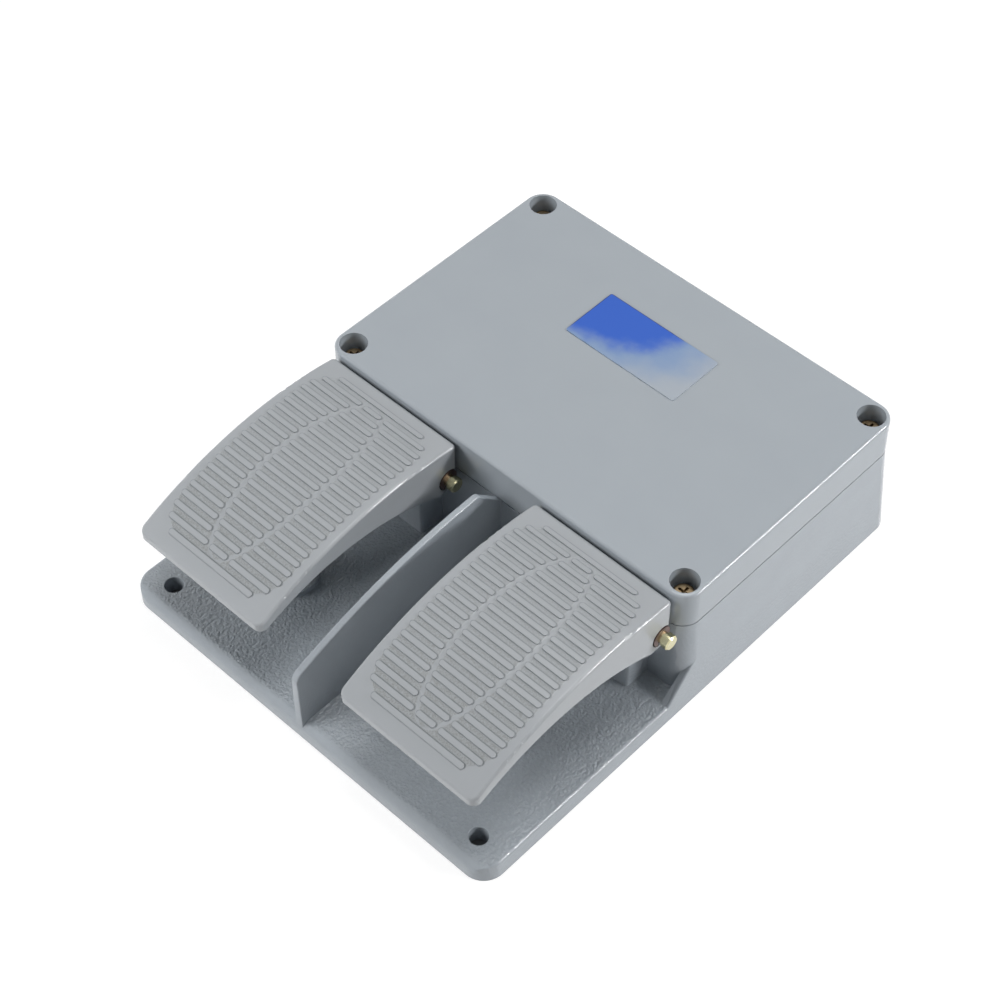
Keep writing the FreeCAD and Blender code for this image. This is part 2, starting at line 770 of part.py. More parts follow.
def return_spring(centre):
    """A compression coil with closed ends, a loft through wire sections from the base's seat to the cup."""
    foot = spring_foot_z + spring_wire_r
    top = tread_z(spring_y, pedal_skin) - spring_cup_depth - spring_wire_r
    closed_lead = 2 * spring_wire_r + spring_end_gap
    open_lead = (top - foot - 2 * closed_lead) / (spring_turns - 2)
    sections = []
    for step in range(spring_turns * spring_steps + 1):
        turn = step / spring_steps
        opened = min(max(turn - 1, 0), spring_turns - 2)
        rise = opened * open_lead + (turn - opened) * closed_lead
        swing = math.radians(360 * turn)
        outward = Vec(math.cos(swing), math.sin(swing), 0)
        middle = Vec(centre, spring_y, foot + rise) + outward * spring_r
        corners = [middle + outward * (spring_wire_r * math.cos(turned))
                   + Z_DIR * (spring_wire_r * math.sin(turned))
                   for turned in (math.radians(360 * n / spring_wire_sides) for n in range(spring_wire_sides))]
        sections.append(Part.makePolygon(corners + corners[:1]))
    return Part.makeLoft(sections, True, True)


def guide_bush(centre):
    inner_start = box_front + box_wall
    bush = join(rod(guide_r, box_wall + guide_inner_length, (centre, box_front, plunger_z), Y_DIR),
                rod(guide_flange_r, guide_flange_t, (centre, inner_start, plunger_z), Y_DIR))
    bore = rod(plunger_r + running_gap, 40, (centre, box_front - 5, plunger_z), Y_DIR)
    groove = rod(plunger_r + seal_groove_depth, seal_groove_w, (centre, seal_y(), plunger_z), Y_DIR)
    return cut(bush, bore, groove)


def seal_y():
    return box_front + seal_inset


def plunger_seal(centre):
    start = (centre, seal_y(), plunger_z)
    ring = rod(plunger_r + seal_groove_depth, seal_groove_w, start, Y_DIR)
    return cut(ring, rod(plunger_r + running_gap, seal_groove_w, start, Y_DIR))


def plunger(centre):
    """A push rod with a rounded nose, from the lever's face to the switch's button."""
    nose_y = lever_rear + plunger_gap
    end_y = switch_front - button_proud - plunger_gap
    shaft = rod(plunger_r, end_y - nose_y, (centre, nose_y, plunger_z), Y_DIR)
    return shaft.makeFillet(plunger_dome_r, edges_at(shaft, lambda c, e: c.y < nose_y + 0.01))


def switch_body(centre):
    """A snap switch's case with its button's collar and three bays for the terminals."""
    half = switch_length / 2
    rear = switch_front + switch_height
    case = box(centre - half, centre + half, switch_front, rear, switch_low, switch_low + switch_thick)
    case = case.makeFillet(switch_corner_r, edges_at(case, lambda c, e: abs(e.Vertexes[0].Z
                                                                           - e.Vertexes[1].Z) > 1))
    collar = rod(button_collar_r, button_collar_h, (centre, switch_front - button_collar_h, plunger_z), Y_DIR)
    case = join(case, collar)
    seat = switch_low + terminal_seat_h
    bay_front = rear - terminal_bay_depth
    shelf = box(centre - half - 1, centre + half + 1, bay_front, rear + 1, seat, switch_low + switch_thick + 1)
    half_wall = terminal_bay_wall / 2
    walls = [box(centre + offset - half_wall, centre + offset + half_wall, bay_front, rear, seat,
                 switch_low + switch_thick)
             for offset in (half_wall - half, -terminal_pitch / 2, terminal_pitch / 2, half - half_wall)]
    case = cut(case, cut(shelf, *walls))
    bore = rod(button_r + running_gap, button_depth + button_collar_h, (centre, switch_front - button_collar_h,
                                                                        plunger_z), Y_DIR)
    screws = [rod(switch_screw_r + screw_play, 2 * switch_thick, (x, switch_screw_y(), switch_low - 5))
              for x in switch_screw_xs(centre)]
    return cut(case, bore, *screws)


def switch_button(centre):
    length = button_proud + button_depth - button_room
    return rod(button_r, length, (centre, switch_front - button_proud, plunger_z), Y_DIR)


def switch_terminals(centre):
    """Three clamp screws on their plates, in the bays at the back of a switch."""
    pieces = []
    front = switch_front + switch_height - terminal_bay_depth + terminal_inset
    seat = switch_low + terminal_seat_h
    head_y = front + terminal_head_inset
    head_top = seat + terminal_t + terminal_screw_h
    for n in (-1, 0, 1):
        x = centre + n * terminal_pitch
        tab = box(x - terminal_w / 2, x + terminal_w / 2, front, front + terminal_l, seat, seat + terminal_t)
        head = rod(terminal_screw_r, terminal_screw_h, (x, head_y, seat + terminal_t))
        slot = box(x - terminal_screw_r, x + terminal_screw_r, head_y - terminal_slot_w / 2,
                   head_y + terminal_slot_w / 2, head_top - terminal_slot_depth, head_top + 1)
        pieces.append(cut(join(tab, head), slot))
    return pieces


def switch_plate():
    """A sheet that carries both switches on the casting's posts, slotted in the middle."""
    reach = pedal_pitch / 2 + switch_length / 2
    plate = slab(reach, switch_front + plate_front_inset, switch_front + switch_height - plate_margin,
                 plate_corner_r, plate_corner_r, switch_plate_z, switch_low)
    holes = [rod(switch_screw_r + screw_play, 10, (x, switch_screw_y(), switch_plate_z - 4))
             for centre in sides.values() for x in switch_screw_xs(centre)]
    slot_y = switch_front + plate_slot_inset
    slot = box(-plate_slot_half, plate_slot_half, slot_y, slot_y + plate_slot_w, switch_plate_z - 1, switch_low + 1)
    return cut(plate, slot, *holes)


def switch_screws():
    seat = switch_low + switch_thick
    length = switch_thick + plate_t + switch_screw_grip - 1
    return [pan_screw(x, switch_screw_y(), seat, switch_screw_r, length, switch_screw_head_r,
                      switch_screw_head_h)
            for centre in sides.values() for x in switch_screw_xs(centre)]


def earth_clamp_plate():
    z = plate_top + earth_boss_h
    half = earth_clamp / 2
    saddle = box(earth_x - half, earth_x + half, earth_y() - half, earth_y() + half, z, z + earth_clamp_t)
    return cut(saddle, rod(earth_screw_r + screw_play, 10, (earth_x, earth_y(), z - 2)))


def earth_screw():
    seat = plate_top + earth_boss_h + earth_clamp_t
    return pan_screw(earth_x, earth_y(), seat, earth_screw_r, earth_boss_h, earth_head_r, earth_head_h)


def gland_body():
    inner = rear_y - box_wall - rear_draft - gland_inner_l
    spigot = rod(gland_thread_r, rear_y - inner, (0, inner, gland_z), Y_DIR)
    collar = hexagon(gland_collar_af, gland_collar_l, rear_y, gland_z)
    neck = rod(gland_neck_r, gland_seal_l, (0, rear_y + gland_collar_l, gland_z), Y_DIR)
    bore = rod(gland_bore_r, 60, (0, inner - 1, gland_z), Y_DIR)
    return cut(join(spigot, collar, neck), bore)


def gland_seal():
    start = (0, rear_y + gland_collar_l, gland_z)
    return cut(rod(gland_bore_r, gland_seal_l, start, Y_DIR), rod(gland_seal_r, gland_seal_l, start, Y_DIR))


def gland_nut():
    start = rear_y + gland_collar_l
    skirt_l = gland_nut_l * gland_skirt_share
    skirt = hexagon(gland_collar_af, skirt_l, start, gland_z)
    dome = cone(gland_collar_af / 2, gland_nut_mouth_r + gland_nut_lip, gland_nut_l - skirt_l,
                (0, start + skirt_l, gland_z), Y_DIR)
    socket = rod(gland_neck_r, gland_seal_l, (0, start, gland_z), Y_DIR)
    mouth = rod(gland_nut_mouth_r, gland_nut_l + 1, (0, start, gland_z), Y_DIR)
    return cut(join(skirt, dome), socket, mouth)


def gland_locknut():
    start = cover_rear - box_wall - locknut_l
    return cut(hexagon(locknut_af, locknut_l, start, gland_z),
               rod(gland_thread_r, locknut_l + 2, (0, start - 1, gland_z), Y_DIR))


def save(node, shape):
    """Write one sub-part, a single solid or a group of separate ones."""
    solids = shape if isinstance(shape, list) else [shape]
    found = []
    for solid in solids:
        found += solid.Solids
    whole = found[0] if len(found) == 1 else Part.makeCompound(found)
    reach = whole.BoundBox
    print(f"{node}: {len(found)} solid(s), {whole.Volume:.0f} mm3, valid {whole.isValid()}, "
          f"z {reach.ZMin:.2f} to {reach.ZMax:.2f}")
    whole.exportStep(f"parts/{node}.step")


def main():
    save("base_casting", base_casting())
    save("top_cover", top_cover())
    save("cover_gasket", cover_gasket())
    save("cover_screws", cover_screws())
    save("nameplate", nameplate())
    for side, centre in sides.items():
        save(f"{side}_pedal", pedal(centre))
        save(f"{side}_pivot_pin", pivot_pin(centre))
        save(f"{side}_pin_washers", pin_washers(centre))
        save(f"{side}_pin_clips", pin_clips(centre))
        save(f"{side}_pivot_bushes", pivot_bushes(centre))
        save(f"{side}_return_spring", return_spring(centre))
        save(f"{side}_guide_bush", guide_bush(centre))
        save(f"{side}_plunger_seal", plunger_seal(centre))
        save(f"{side}_plunger", plunger(centre))
        save(f"{side}_switch_body", switch_body(centre))
        save(f"{side}_switch_button", switch_button(centre))
        save(f"{side}_switch_terminals", switch_terminals(centre))
    save("switch_plate", switch_plate())
    save("switch_screws", switch_screws())
    save("earth_clamp", earth_clamp_plate())
    save("earth_screw", earth_screw())
    save("gland_body", gland_body())
    save("gland_seal", gland_seal())
    save("gland_nut", gland_nut())
    save("gland_locknut", gland_locknut())


main()
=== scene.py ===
"""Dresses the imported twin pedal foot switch: enamels, plated metals, springs, a studio and its camera."""

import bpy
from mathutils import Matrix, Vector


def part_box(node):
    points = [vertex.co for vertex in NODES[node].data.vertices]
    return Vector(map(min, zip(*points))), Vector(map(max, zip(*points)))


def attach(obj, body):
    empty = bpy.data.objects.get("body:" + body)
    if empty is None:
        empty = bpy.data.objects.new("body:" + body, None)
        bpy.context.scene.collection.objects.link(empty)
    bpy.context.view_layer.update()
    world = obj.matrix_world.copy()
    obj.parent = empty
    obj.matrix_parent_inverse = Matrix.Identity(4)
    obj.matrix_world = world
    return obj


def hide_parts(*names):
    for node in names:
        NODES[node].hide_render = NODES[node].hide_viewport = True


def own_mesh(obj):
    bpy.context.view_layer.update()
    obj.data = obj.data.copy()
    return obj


bl_info = {
    "name": "Industrial foot switch",
    "version": (1, 0, 0),
    "blender": (4, 5, 0),
    "location": "View3D > Sidebar > Foot switch",
    "description": "Materials, return springs and studio for a twin pedal foot switch",
    "category": "Object",
}

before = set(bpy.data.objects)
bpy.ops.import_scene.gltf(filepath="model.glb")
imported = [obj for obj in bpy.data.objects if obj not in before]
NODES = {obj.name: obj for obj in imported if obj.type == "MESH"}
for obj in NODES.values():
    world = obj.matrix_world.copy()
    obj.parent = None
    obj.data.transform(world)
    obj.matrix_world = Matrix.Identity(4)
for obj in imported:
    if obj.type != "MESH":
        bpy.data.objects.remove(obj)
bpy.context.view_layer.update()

import math

import bmesh
import bpy
from bpy.props import FloatProperty, IntProperty, PointerProperty, StringProperty
from mathutils import Matrix, Vector

MM = 0.001
SIDES = ("left", "right")


def linear(hex_colour):
    """An sRGB hex value as linear red, green, blue and alpha."""
    parts = [int(hex_colour[n:n + 2], 16) / 255 for n in (1, 3, 5)]
    return tuple(c / 12.92 if c <= 0.04045 else ((c + 0.055) / 1.055) ** 2.4 for c in parts) + (1.0,)


def add_node(tree, kind, sockets=None, **settings):
    """Adds a shader node. A socket takes a value, an output, or a node whose first output feeds it."""
    node = tree.nodes.new("ShaderNode" + kind)
    for name, value in settings.items():
        setattr(node, name, value)
    for key, value in (sockets or {}).items():
        socket = node.inputs[key] if isinstance(key, int) else next(
            found for found in node.inputs if found.name == key and found.enabled)
        if isinstance(value, bpy.types.Node):
            value = next(found for found in value.outputs if found.enabled)
        if isinstance(value, bpy.types.NodeSocket):
            tree.links.new(value, socket)
        else:
            socket.default_value = value
    return node


def new_material(name):
    """A named material with its shader, and the piece's own coordinates in metres."""
    material = bpy.data.materials.new(name)
    material.use_nodes = True
    tree = material.node_tree
    tree.nodes.clear()
    shader = add_node(tree, "BsdfPrincipled")
    add_node(tree, "OutputMaterial", {"Surface": shader})
    place = add_node(tree, "TexCoord").outputs["Object"]
    return material, tree, shader, place


def feed(tree, shader, colour, roughness, relief):
    """Links colour, roughness and relief to the shader. A roughness of one number goes on its socket."""
    for name, source in (("Base Color", colour), ("Roughness", roughness), ("Normal", relief)):
        if isinstance(source, bpy.types.Node):
            output = next(found for found in source.outputs if found.enabled)
            tree.links.new(output, shader.inputs[name])
        else:
            shader.inputs[name].default_value = source


def seen_by_eye(tree):
    """1 where the camera looks at a surface, also by way of a reflection, and 0 where light finds it."""
    rays = add_node(tree, "LightPath")
    return add_node(tree, "Math", {0: rays.outputs["Is Camera Ray"], 1: rays.outputs["Is Glossy Ray"]},
                    operation="MAXIMUM")


def inside_outline(tree, axes, box, margin):
    """1 where a point lies inside a piece's box as seen from above, less a margin."""
    low, high = box
    middle, half = (low + high) / 2, (high - low) / 2
    inside = 1.0
    for axis, centre, reach in (("X", middle.x, half.x), ("Y", middle.y, half.y)):
        within = add_node(tree, "Math", {0: axes.outputs[axis], 1: centre, 2: reach - margin},
                          operation="COMPARE")
        inside = add_node(tree, "Math", {0: inside, 1: within}, operation="MULTIPLY")
    return inside


def finish_metal(name, colour, second_colour, roughness, grain_mm, wear=0.15):
    """A plated or turned metal: two tones that drift over it, and fine tool marks in its gloss."""
    drift_mm = 4
    mark_depth_mm = 0.02
    material, tree, shader, place = new_material(name)
    drift = add_node(tree, "TexNoise", {"Vector": place, "Scale": 1 / (drift_mm * MM), "Detail": 3.0})
    tone = add_node(tree, "Mix", {"Factor": drift, "A": linear(colour), "B": linear(second_colour)},
                    data_type="RGBA")
    marks = add_node(tree, "TexNoise", {"Vector": place, "Scale": 1 / (grain_mm * MM), "Detail": 2.0})
    gloss = add_node(tree, "MapRange", {"Value": marks, "To Min": roughness - wear / 2,
                                        "To Max": roughness + wear / 2})
    relief = add_node(tree, "Bump", {"Height": marks, "Strength": 0.3, "Distance": mark_depth_mm * MM})
    shader.inputs["Metallic"].default_value = 1.0
    feed(tree, shader, tone, gloss, relief)
    return material


def finish_moulding(name, colour, roughness, grain_mm, relief_mm, fleck=0.85):
    """A moulded plastic or rubber: faint flecks of a darker tone and the mould's fine grain."""
    fleck_mm = 2
    gloss_drift = 0.06
    material, tree, shader, place = new_material(name)
    flecks = add_node(tree, "TexNoise", {"Vector": place, "Scale": 1 / (fleck_mm * MM), "Detail": 4.0})
    base = linear(colour)
    dark = tuple(c * fleck for c in base[:3]) + (1.0,)
    tone = add_node(tree, "Mix", {"Factor": flecks, "A": base, "B": dark}, data_type="RGBA")
    grain = add_node(tree, "TexNoise", {"Vector": place, "Scale": 1 / (grain_mm * MM), "Detail": 2.0})
    gloss = add_node(tree, "MapRange", {"Value": grain, "To Min": roughness - gloss_drift,
                                        "To Max": roughness + gloss_drift})
    relief = add_node(tree, "Bump", {"Height": grain, "Strength": 0.5, "Distance": relief_mm * MM})
    feed(tree, shader, tone, gloss, relief)
    return material


def leathery_enamel(sizes):
    """Baked enamel over rough die-cast aluminium. On the level plate the casting's skin shows through as a
    leathery grain over a millimetre across, its hollows painted darker as shade. Drawn walls, rounded edges
    and ribs are smoother, and their faint bumps break the highlights into small sparks."""
    wander_mm, fine_mm, cloud_mm = 2.5 * sizes.grain, 0.6 * sizes.grain, 14
    wall_facing, level_facing = 0.9, 0.97
    plate_height, rib_height = 0.016, 0.020
    high_spot, valley = 0.5, 1.15
    cloud_tone, noise_middle = 0.05, (0.5, 0.5, 0.5)
    material, tree, shader, place = new_material("baked_enamel_on_rough_casting")
    wander = add_node(tree, "TexNoise", {"Vector": place, "Scale": 1 / (wander_mm * MM), "Detail": 2.0})
    bent = add_node(tree, "VectorMath", {0: wander.outputs["Color"], 1: noise_middle},
                    operation="SUBTRACT")
    moved = add_node(tree, "VectorMath", {0: bent, "Scale": sizes.grain * MM}, operation="SCALE")
    warped = add_node(tree, "VectorMath", {0: place, 1: moved}, operation="ADD")
    cells = add_node(tree, "TexVoronoi", {"Vector": warped, "Scale": 1 / (sizes.grain * MM),
                                          "Smoothness": 0.3}, feature="SMOOTH_F1")
    fine = add_node(tree, "TexNoise", {"Vector": place, "Scale": 1 / (fine_mm * MM), "Detail": 2.0})
    skin = add_node(tree, "Math", {0: cells, 1: fine}, operation="ADD")
    facing = add_node(tree, "SeparateXYZ", {
        "Vector": add_node(tree, "NewGeometry").outputs["True Normal"]})
    share = add_node(tree, "MapRange", {"Value": facing.outputs["Z"], "From Min": wall_facing,
                                        "From Max": level_facing, "To Min": sizes.wall_share,
                                        "To Max": 1.0})
    axes = add_node(tree, "SeparateXYZ", {"Vector": place})
    low_place = add_node(tree, "MapRange", {"Value": axes.outputs["Z"], "From Min": rib_height,
                                            "From Max": plate_height, "To Min": sizes.rib_share,
                                            "To Max": 1.0})
    calm_share = add_node(tree, "Math", {0: share, 1: low_place}, operation="MULTIPLY")
    clouds = add_node(tree, "TexNoise", {"Vector": place, "Scale": 1 / (cloud_mm * MM), "Detail": 3.0})
    # Darker enamel in the low spots of the skin: painted shade in its hollows.
    depth = add_node(tree, "MapRange", {"Value": skin, "From Min": high_spot, "From Max": valley})
    shade = add_node(tree, "Math", {0: depth, 1: calm_share}, operation="MULTIPLY")
    tone = add_node(tree, "Mix", {"Factor": shade, "A": linear(sizes.colour),
                                  "B": linear(sizes.hollow_shade_colour)}, data_type="RGBA")
    drift = add_node(tree, "MapRange", {"Value": clouds, "To Min": 1 - cloud_tone,
                                        "To Max": 1 + cloud_tone})
    toned = add_node(tree, "Mix", {"Factor": 1.0, "A": tone, "B": drift}, data_type="RGBA",
                     blend_type="MULTIPLY")
    relief = add_node(tree, "Bump", {"Height": skin, "Strength": calm_share,
                                     "Distance": -sizes.relief * MM})
    feed(tree, shader, toned, sizes.roughness, relief)
    return material


def satin_enamel(sizes):
    """Baked enamel over a finished face: an even satin with a faint orange peel and soft flow marks."""
    cloud_mm = 22
    gloss_drift = 0.03
    material, tree, shader, place = new_material("baked_enamel_satin")
    peel = add_node(tree, "TexNoise", {"Vector": place, "Scale": 1 / (sizes.peel * MM), "Detail": 2.0,
                                       "Roughness": 0.6})
    clouds = add_node(tree, "TexNoise", {"Vector": place, "Scale": 1 / (cloud_mm * MM), "Detail": 3.0})
    tone = add_node(tree, "Mix", {"Factor": clouds, "A": linear(sizes.colour),
                                  "B": linear(sizes.second_colour)}, data_type="RGBA")
    gloss = add_node(tree, "MapRange", {"Value": peel, "To Min": sizes.roughness - gloss_drift,
                                        "To Max": sizes.roughness + gloss_drift})
    relief = add_node(tree, "Bump", {"Height": peel, "Strength": 1.0, "Distance": sizes.relief * MM})
    feed(tree, shader, tone, gloss, relief)
    return material


def tread_distances(tree, place, sizes):
    """How far a point of a pedal lies outside its nearest tread bar, outside the ground between the bars,
    in front of its row and in front of the first row, in millimetres, from the tread's own layout."""
    low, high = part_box("right_pedal")
    centre = (low.x + high.x) / 2 / MM
    rear = low.y / MM + sizes.length
    half_rows = (sizes.rows - 1) / 2
    half_bar = sizes.bar / 2
    end_room = sizes.channel / 2 + half_bar
    straight = half_rows * sizes.pitch - sizes.corner
    least_lens = 0.01
    axes = add_node(tree, "SeparateXYZ", {"Vector": place})
    found = {"x": axes.outputs["X"], "y": axes.outputs["Y"]}
    steps = [
        ("from_first", "MULTIPLY_ADD", "y", -1 / MM, rear - sizes.first_row),
        ("from_middle_plane", "ABSOLUTE", "x"),
        ("off_centre", "MULTIPLY_ADD", "from_middle_plane", 1 / MM, -centre),
        ("across", "ABSOLUTE", "off_centre"),
        ("rows_down", "DIVIDE", "from_first", sizes.pitch),
        ("nearest", "ROUND", "rows_down"),
        ("not_before", "MAXIMUM", "nearest", 0.0),
        ("row", "MINIMUM", "not_before", sizes.rows - 1),
        ("row_place", "MULTIPLY", "row", sizes.pitch),
        ("off_row", "SUBTRACT", "from_first", "row_place"),
        ("row_offset", "MULTIPLY_ADD", "row", sizes.pitch, -half_rows * sizes.pitch),
        ("row_from_middle", "ABSOLUTE", "row_offset"),
        ("offset", "SUBTRACT", "from_first", half_rows * sizes.pitch),
        ("from_middle", "ABSOLUTE", "offset"),
        ("ground_from_middle", "ADD", "from_middle", sizes.pitch / 4),
    ]
    for at in ("row", "ground"):
        steps += [
            (at + "_past_straight", "SUBTRACT", at + "_from_middle", straight),
            (at + "_in_corner", "MAXIMUM", at + "_past_straight", 0.0),
            (at + "_square", "MULTIPLY", at + "_in_corner", at + "_in_corner"),
            (at + "_bow_square", "MULTIPLY_ADD", at + "_square", -sizes.corner_share,
             sizes.corner ** 2),
            (at + "_bow", "SQRT", at + "_bow_square"),
            (at + "_outer_end", "ADD", at + "_bow", sizes.half_width - sizes.corner - half_bar),
            (at + "_along_lens", "DIVIDE", at + "_from_middle", sizes.lens_half_length),
            (at + "_lens_square", "MULTIPLY", at + "_along_lens", at + "_along_lens"),
            (at + "_lens_rest", "SUBTRACT", 1.0, at + "_lens_square"),
            (at + "_lens_inside", "MAXIMUM", at + "_lens_rest", 0.0),
            (at + "_lens_share", "SQRT", at + "_lens_inside"),
            (at + "_lens", "MULTIPLY", at + "_lens_share", sizes.lens_half_width),
            (at + "_has_lens", "GREATER_THAN", at + "_lens", least_lens),
            (at + "_inner_end", "SUBTRACT", at + "_lens", end_room),
            (at + "_outer_start", "ADD", at + "_lens", end_room),
            (at + "_outer_start_here", "MULTIPLY", at + "_outer_start", at + "_has_lens"),
            (at + "_past_inner", "SUBTRACT", "across", at + "_inner_end"),
            (at + "_past_inner_end", "MAXIMUM", at + "_past_inner", 0.0),
            (at + "_before_outer", "SUBTRACT", at + "_outer_start_here", "across"),
            (at + "_past_outer", "SUBTRACT", "across", at + "_outer_end"),
            (at + "_past_either", "MAXIMUM", at + "_before_outer", at + "_past_outer"),
            (at + "_past_either_end", "MAXIMUM", at + "_past_either", 0.0),
            (at + "_past_end", "MINIMUM", at + "_past_inner_end", at + "_past_either_end"),
        ]
    steps += [
        ("end_square", "MULTIPLY", "row_past_end", "row_past_end"),
        ("square", "MULTIPLY_ADD", "off_row", "off_row", "end_square"),
        ("off_axis", "SQRT", "square"),
        ("off_bar", "SUBTRACT", "off_axis", half_bar),
        ("past_rows", "SUBTRACT", "from_middle", half_rows * sizes.pitch),
        ("past_ground", "MAXIMUM", "past_rows", "ground_past_end"),
        ("off_ground", "SUBTRACT", "past_ground", half_bar),
    ]
    for name, operation, *terms in steps:
        found[name] = add_node(tree, "Math", {n: found.get(term, term) for n, term in enumerate(terms)},
                               operation=operation)
    return found["off_bar"], found["off_ground"], found["off_row"], found["from_first"]


def trodden_enamel(sizes):
    """Satin enamel like the cover's. The tread's ground was cast against sand and stays gritty, and its
    darker tone between the bars is partly painted shade. A thin dark line round each bar is dirt and
    painted shade, and shoes have left it browner towards the front."""
    # Edges, foot, depth, rows, fade and stain are in millimetres of the tread's plan.
    steep_facing, upward_facing = 0.25, 0.5
    ground_edge, full_ground = 0.3, -0.2
    bar_foot, full_depth = -0.05, 0.12
    behind_row, before_row = -0.5, 0.5
    line_fade, line_strength = 0.42, 0.85
    stain_start, stain_end, least_stain = 10.0, 85.0, 0.3
    dark_grain, light_grain = 0.35, 0.65
    cloud_mm, grit_roughness = 22, 0.7
    material, tree, shader, place = new_material("baked_enamel_on_sandy_tread")
    off_bar, off_ground, off_row, from_rear = tread_distances(tree, place, sizes)
    facing = add_node(tree, "SeparateXYZ", {"Vector": add_node(tree, "NewGeometry").outputs["Normal"]})
    upward = add_node(tree, "MapRange", {"Value": facing.outputs["Z"], "From Min": steep_facing,
                                         "From Max": upward_facing})
    # The ground between the bars, but not the channels: where the sand and the painted shade go.
    between = add_node(tree, "MapRange", {"Value": off_ground, "From Min": ground_edge,
                                          "From Max": full_ground}, interpolation_type="SMOOTHSTEP")
    below = add_node(tree, "MapRange", {"Value": off_bar, "From Min": bar_foot, "From Max": full_depth},
                     interpolation_type="SMOOTHSTEP")
    # The line round a bar is painted shade as well as dirt. The camera looks over the bars, so the line
    # behind a bar is drawn as wide as it needs to show.
    line_width = add_node(tree, "MapRange", {"Value": off_row, "From Min": behind_row,
                                             "From Max": before_row, "To Min": sizes.hidden_line,
                                             "To Max": sizes.line})
    line_left = add_node(tree, "Math", {0: line_width, 1: off_bar}, operation="SUBTRACT")
    near_bar = add_node(tree, "MapRange", {"Value": line_left, "From Max": line_fade,
                                           "To Max": line_strength}, interpolation_type="SMOOTHSTEP")
    to_front = add_node(tree, "MapRange", {"Value": from_rear, "From Min": stain_start,
                                           "From Max": stain_end, "To Min": least_stain, "To Max": 1.0})
    low_place = add_node(tree, "Math", {0: below, 1: upward}, operation="MULTIPLY")
    gritty = add_node(tree, "Math", {0: low_place, 1: between}, operation="MULTIPLY")
    stain_and_shade = add_node(tree, "Math", {0: gritty, 1: to_front}, operation="MULTIPLY")
    dirt_and_shade_share = add_node(tree, "Math", {0: low_place, 1: near_bar}, operation="MULTIPLY")

    clouds = add_node(tree, "TexNoise", {"Vector": place, "Scale": 1 / (cloud_mm * MM), "Detail": 3.0})
    grains = add_node(tree, "TexNoise", {"Vector": place, "Scale": 1 / (sizes.grit * MM), "Detail": 2.0,
                                         "Roughness": 0.7})
    peel = add_node(tree, "TexNoise", {"Vector": place, "Scale": 1 / (sizes.peel * MM), "Detail": 2.0})
    speckle = add_node(tree, "MapRange", {"Value": grains, "From Min": dark_grain,
                                          "From Max": light_grain})
    # Between the bars the sand's darker tone is partly painted shade; the channels are left lighter.
    sand = add_node(tree, "Mix", {"Factor": speckle, "A": linear(sizes.grit_and_shade_colour),
                                  "B": linear(sizes.colour)}, data_type="RGBA")
    smooth = add_node(tree, "Mix", {"Factor": clouds, "A": linear(sizes.colour),
                                    "B": linear(sizes.second_colour)}, data_type="RGBA")
    tone = add_node(tree, "Mix", {"Factor": stain_and_shade, "A": smooth, "B": sand}, data_type="RGBA")
    # Painted shade and dirt: a dark line at the foot of each bar.
    tone = add_node(tree, "Mix", {"Factor": dirt_and_shade_share, "A": tone, "B": linear(sizes.dirt_and_shade_colour)},
                    data_type="RGBA")
    gloss = add_node(tree, "MapRange", {"Value": gritty, "To Min": sizes.roughness,
                                        "To Max": grit_roughness})
    relief = add_node(tree, "Bump", {"Height": peel, "Strength": 1.0, "Distance": sizes.relief * MM})
    grit_height = add_node(tree, "Math", {0: grains, 1: gritty}, operation="MULTIPLY")
    relief = add_node(tree, "Bump", {"Height": grit_height, "Distance": sizes.grit_relief * MM,
                                     "Strength": 1.0, "Normal": relief})
    feed(tree, shader, tone, gloss, relief)
    return material


def worn_print(sizes):
    """Anodised aluminium foil, printed blue and blank. The ink is whole at the rear left and worn to the
    metal's grey across the rest."""
    patch_mm, patch_drift = 9, 0.18
    fading, faded = 0.85, 1.2
    baring, bared = 1.1, 1.7
    peel_mm, peel_depth_mm, foil_roughness = 0.8, 0.01, 0.4
    material, tree, shader, place = new_material("printed_aluminium_foil")
    low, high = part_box("nameplate")
    axes = add_node(tree, "SeparateXYZ", {"Vector": place})
    across = add_node(tree, "MapRange", {"Value": axes.outputs["X"], "From Min": low.x,
                                         "From Max": high.x, "To Max": 1 / sizes.ink_reach_x}, clamp=False)
    down = add_node(tree, "MapRange", {"Value": axes.outputs["Y"], "From Min": high.y,
                                       "From Max": low.y, "To Max": 1 / sizes.ink_reach_y}, clamp=False)
    spread = add_node(tree, "CombineXYZ", {"X": across, "Y": down})
    reach = add_node(tree, "VectorMath", {0: spread}, operation="LENGTH").outputs["Value"]
    inside = inside_outline(tree, axes, (low, high), sizes.rim * MM)
    patches = add_node(tree, "TexNoise", {"Vector": place, "Scale": 1 / (patch_mm * MM), "Detail": 3.0})
    drift = add_node(tree, "MapRange", {"Value": patches, "To Min": -patch_drift, "To Max": patch_drift})
    reach = add_node(tree, "Math", {0: reach, 1: drift}, operation="ADD")
    worn = add_node(tree, "MapRange", {"Value": reach, "From Min": fading, "From Max": faded},
                    interpolation_type="SMOOTHSTEP")
    bare = add_node(tree, "MapRange", {"Value": reach, "From Min": baring, "From Max": bared},
                    interpolation_type="SMOOTHSTEP")
    ink = add_node(tree, "Mix", {"Factor": inside, "A": linear(sizes.rim_colour),
                                 "B": linear(sizes.colour)}, data_type="RGBA")
    tone = add_node(tree, "Mix", {"Factor": worn, "A": ink, "B": linear(sizes.haze_colour)},
                    data_type="RGBA")
    tone = add_node(tree, "Mix", {"Factor": bare, "A": tone, "B": linear(sizes.bare_colour)},
                    data_type="RGBA")
    peel = add_node(tree, "TexNoise", {"Vector": place, "Scale": 1 / (peel_mm * MM), "Detail": 2.0})
    relief = add_node(tree, "Bump", {"Height": peel, "Strength": 1.0, "Distance": peel_depth_mm * MM})
    feed(tree, shader, tone, foil_roughness, relief)
    return material


